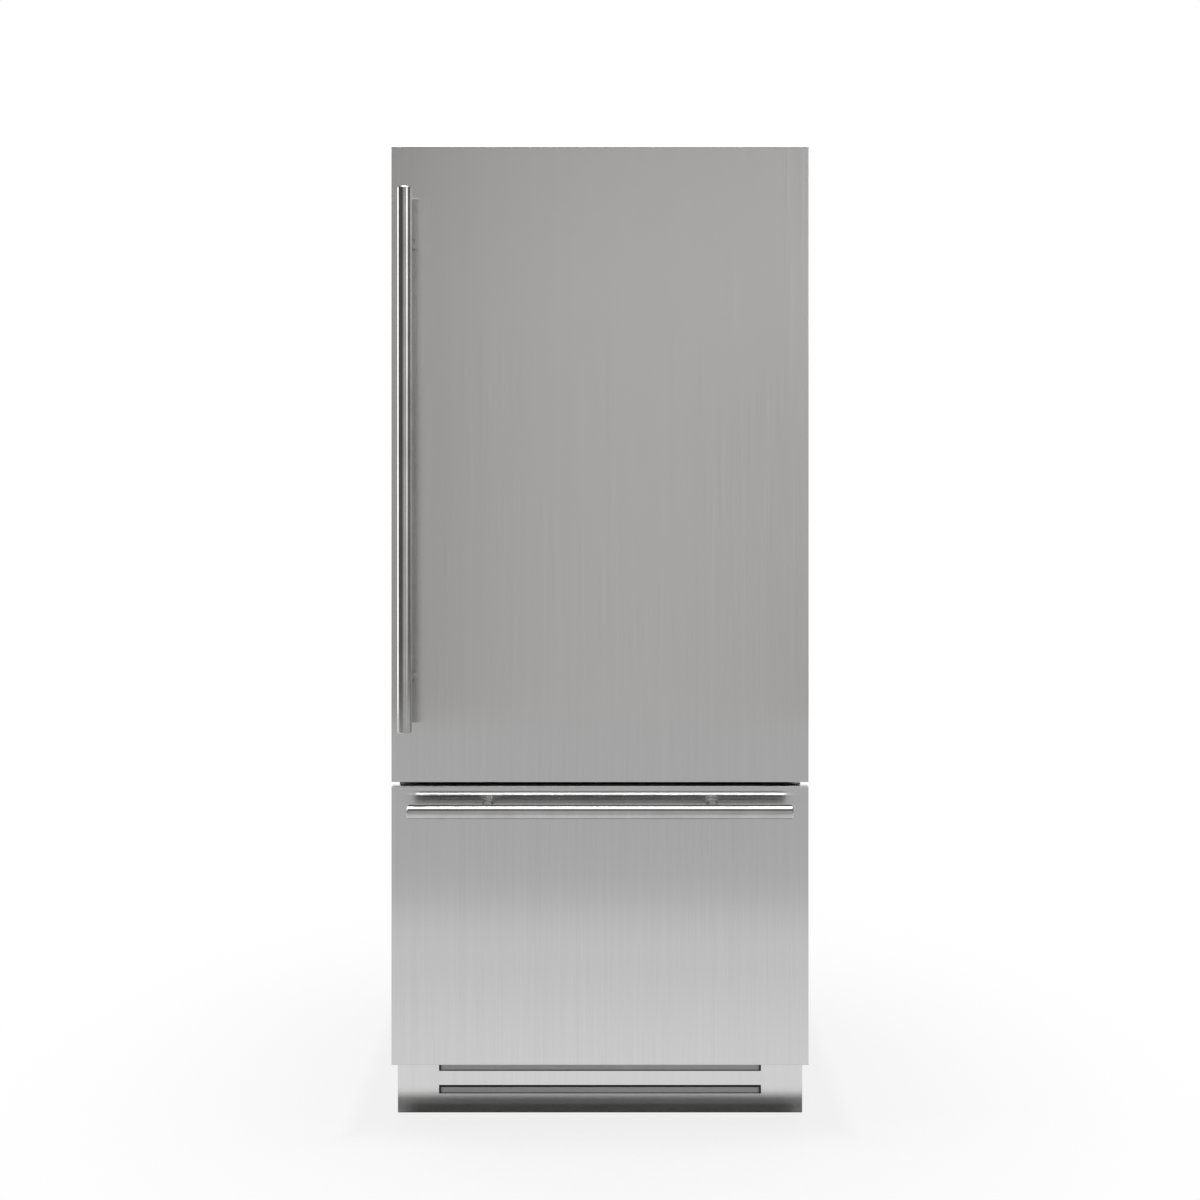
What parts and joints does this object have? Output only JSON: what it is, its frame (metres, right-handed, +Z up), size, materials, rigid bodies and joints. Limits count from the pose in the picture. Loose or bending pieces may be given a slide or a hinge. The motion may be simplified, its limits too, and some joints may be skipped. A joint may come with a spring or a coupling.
{
  "type": "bottom-freezer refrigerator",
  "caption": "Tall flat-fronted refrigerator in brushed steel: a hinged door with a vertical bar handle over a pull-out freezer drawer, on a slotted recessed plinth.",
  "frame": {"origin": "on the floor, under the middle of the whole object's bounding box", "axes": "+Z up, +X to the right seen from the front, +Y to the back; the doors face -Y"},
  "size_m": [0.899, 0.695, 2.11],
  "materials": {
    "brushed_steel_front": "upright brushed",
    "bar_steel": "fine polished",
    "post_steel": "satin",
    "toe_steel": "upright brushed",
    "case_paint": "satin grey paint",
    "zinc_sheet": "zinc-coated sheet",
    "foam": "rigid foam",
    "door_foam": "painted pan over rigid foam",
    "frame_steel": "satin grey paint",
    "liner_plastic": "white, lightly glossy",
    "door_lining": "white, lightly glossy",
    "gasket_rubber": "matte grey",
    "foot_steel": "zinc-plated",
    "wheel_plastic": "matte black",
    "baffle_paint": "satin dark grey",
    "compressor_paint": "gloss black enamel",
    "fin_aluminium": "bare fins",
    "fan_plastic": "matte black",
    "dark_plastic": "matte black",
    "hinge_steel": "satin",
    "bush_plastic": "natural nylon",
    "clear_plastic": "clear moulded",
    "basket_plastic": "white moulded",
    "rail_steel": "zinc-plated",
    "rack_aluminium": "satin anodised",
    "shelf_aluminium": "satin anodised",
    "shelf_glass": "clear tempered",
    "slider_plastic": "matte grey",
    "duct_plastic": "matte white",
    "control_plastic": "gloss black",
    "button_plastic": "satin metallised",
    "light_lens": "frosted lens"
  },
  "bodies": {
    "cabinet": {"outer_case": "case_paint", "back_panel": "zinc_sheet", "insulation_foam": "foam", "front_frame": "frame_steel", "fridge_liner": "liner_plastic", "freezer_liner": "liner_plastic", "base_frame": "zinc_sheet", "toe_kick": "toe_steel", "toe_kick_baffle": "baffle_paint", "compressor": "compressor_paint", "condenser": "fin_aluminium", "condenser_fan_frame": "zinc_sheet", "drain_pan": "dark_plastic", "rear_cover": "zinc_sheet", "power_inlet": "dark_plastic", "anti_tip_rail": "zinc_sheet", "top_hinge": "hinge_steel", "centre_hinge": "hinge_steel", "fixed_rails": "rail_steel", "shelf_racks": "rack_aluminium", "shelf_frames": "shelf_aluminium", "shelf_glass": "shelf_glass", "crispers": "clear_plastic", "fridge_duct_cover": "duct_plastic", "freezer_duct_cover": "duct_plastic", "evaporators": "fin_aluminium", "control_housing": "control_plastic", "light_bars": "light_lens"},
    "door": {"door_panel": "brushed_steel_front", "door_core": "door_foam", "door_liner": "door_lining", "door_dike": "door_lining", "door_gasket": "gasket_rubber", "door_bar": "bar_steel", "door_posts": "post_steel", "door_bins": "clear_plastic", "hinge_bushes": "bush_plastic"},
    "freezer_drawer": {"drawer_panel": "brushed_steel_front", "drawer_core": "door_foam", "drawer_liner": "door_lining", "drawer_gasket": "gasket_rubber", "drawer_bar": "bar_steel", "drawer_posts": "post_steel", "drawer_rails": "rail_steel", "freezer_basket": "basket_plastic"},
    "sliding_tray": {"freezer_tray": "clear_plastic"},
    "left_rail_member": {"left_middle_rail": "rail_steel"},
    "right_rail_member": {"right_middle_rail": "rail_steel"},
    "condenser_fan_rotor": {"condenser_fan": "fan_plastic"},
    "fridge_fan_rotor": {"fridge_fan": "fan_plastic"},
    "freezer_fan_rotor": {"freezer_fan": "fan_plastic"},
    "left_roller": {"left_wheel": "wheel_plastic"},
    "right_roller": {"right_wheel": "wheel_plastic"},
    "left_leveller": {"left_foot": "foot_steel"},
    "right_leveller": {"right_foot": "foot_steel"},
    "key_left": {"left_button": "button_plastic"},
    "key_middle": {"middle_button": "button_plastic"},
    "key_right": {"right_button": "button_plastic"},
    "humidity_left": {"left_slider": "slider_plastic"},
    "humidity_right": {"right_slider": "slider_plastic"}
  },
  "joints": [
    {"name": "door_hinge", "type": "hinge", "parent": "cabinet", "child": "door", "pos_m": [0.4215, -0.2375, 0.749], "axis": [0, 0, 1], "range_deg": [0, 115]},
    {"name": "drawer_slide", "type": "slide", "parent": "cabinet", "child": "freezer_drawer", "axis": [0, -1, 0], "range_m": [0, 0.4]},
    {"name": "left_rail_slide", "type": "slide", "parent": "cabinet", "child": "left_rail_member", "axis": [0, -1, 0], "range_m": [0, 0.2]},
    {"name": "right_rail_slide", "type": "slide", "parent": "cabinet", "child": "right_rail_member", "axis": [0, -1, 0], "range_m": [0, 0.2]},
    {"name": "tray_slide", "type": "slide", "parent": "freezer_drawer", "child": "sliding_tray", "axis": [0, 1, 0], "range_m": [0, 0.13]},
    {"name": "condenser_fan_spin", "type": "hinge", "parent": "cabinet", "child": "condenser_fan_rotor", "pos_m": [-0.19, 0.2485, 0.148], "axis": [0, 1, 0], "continuous": true},
    {"name": "fridge_fan_spin", "type": "hinge", "parent": "cabinet", "child": "fridge_fan_rotor", "pos_m": [0, 0.2545, 1.918], "axis": [0, 1, 0], "continuous": true},
    {"name": "freezer_fan_spin", "type": "hinge", "parent": "cabinet", "child": "freezer_fan_rotor", "pos_m": [0, 0.1275, 0.59], "axis": [0, 1, 0], "continuous": true},
    {"name": "left_roller_spin", "type": "hinge", "parent": "cabinet", "child": "left_roller", "pos_m": [-0.3815, 0.2855, 0.02], "axis": [1, 0, 0], "continuous": true},
    {"name": "left_foot_screw", "type": "slide", "parent": "cabinet", "child": "left_leveller", "axis": [0, 0, -1], "range_m": [0, 0.018]},
    {"name": "left_humidity_slide", "type": "slide", "parent": "cabinet", "child": "humidity_left", "axis": [1, 0, 0], "range_m": [-0.012, 0.012]},
    {"name": "right_roller_spin", "type": "hinge", "parent": "cabinet", "child": "right_roller", "pos_m": [0.3815, 0.2855, 0.02], "axis": [1, 0, 0], "continuous": true},
    {"name": "right_foot_screw", "type": "slide", "parent": "cabinet", "child": "right_leveller", "axis": [0, 0, -1], "range_m": [0, 0.018]},
    {"name": "right_humidity_slide", "type": "slide", "parent": "cabinet", "child": "humidity_right", "axis": [1, 0, 0], "range_m": [-0.012, 0.012]},
    {"name": "left_key_press", "type": "slide", "parent": "cabinet", "child": "key_left", "axis": [0, 1, 0], "range_m": [0, 0.0015], "stiffness_N_per_m": 300},
    {"name": "middle_key_press", "type": "slide", "parent": "cabinet", "child": "key_middle", "axis": [0, 1, 0], "range_m": [0, 0.0015], "stiffness_N_per_m": 300},
    {"name": "right_key_press", "type": "slide", "parent": "cabinet", "child": "key_right", "axis": [0, 1, 0], "range_m": [0, 0.0015], "stiffness_N_per_m": 300}
  ],
  "couplings": [
    {"joint": "left_rail_slide", "follows": "drawer_slide", "ratio": 0.5},
    {"joint": "right_rail_slide", "follows": "drawer_slide", "ratio": 0.5}
  ]
}
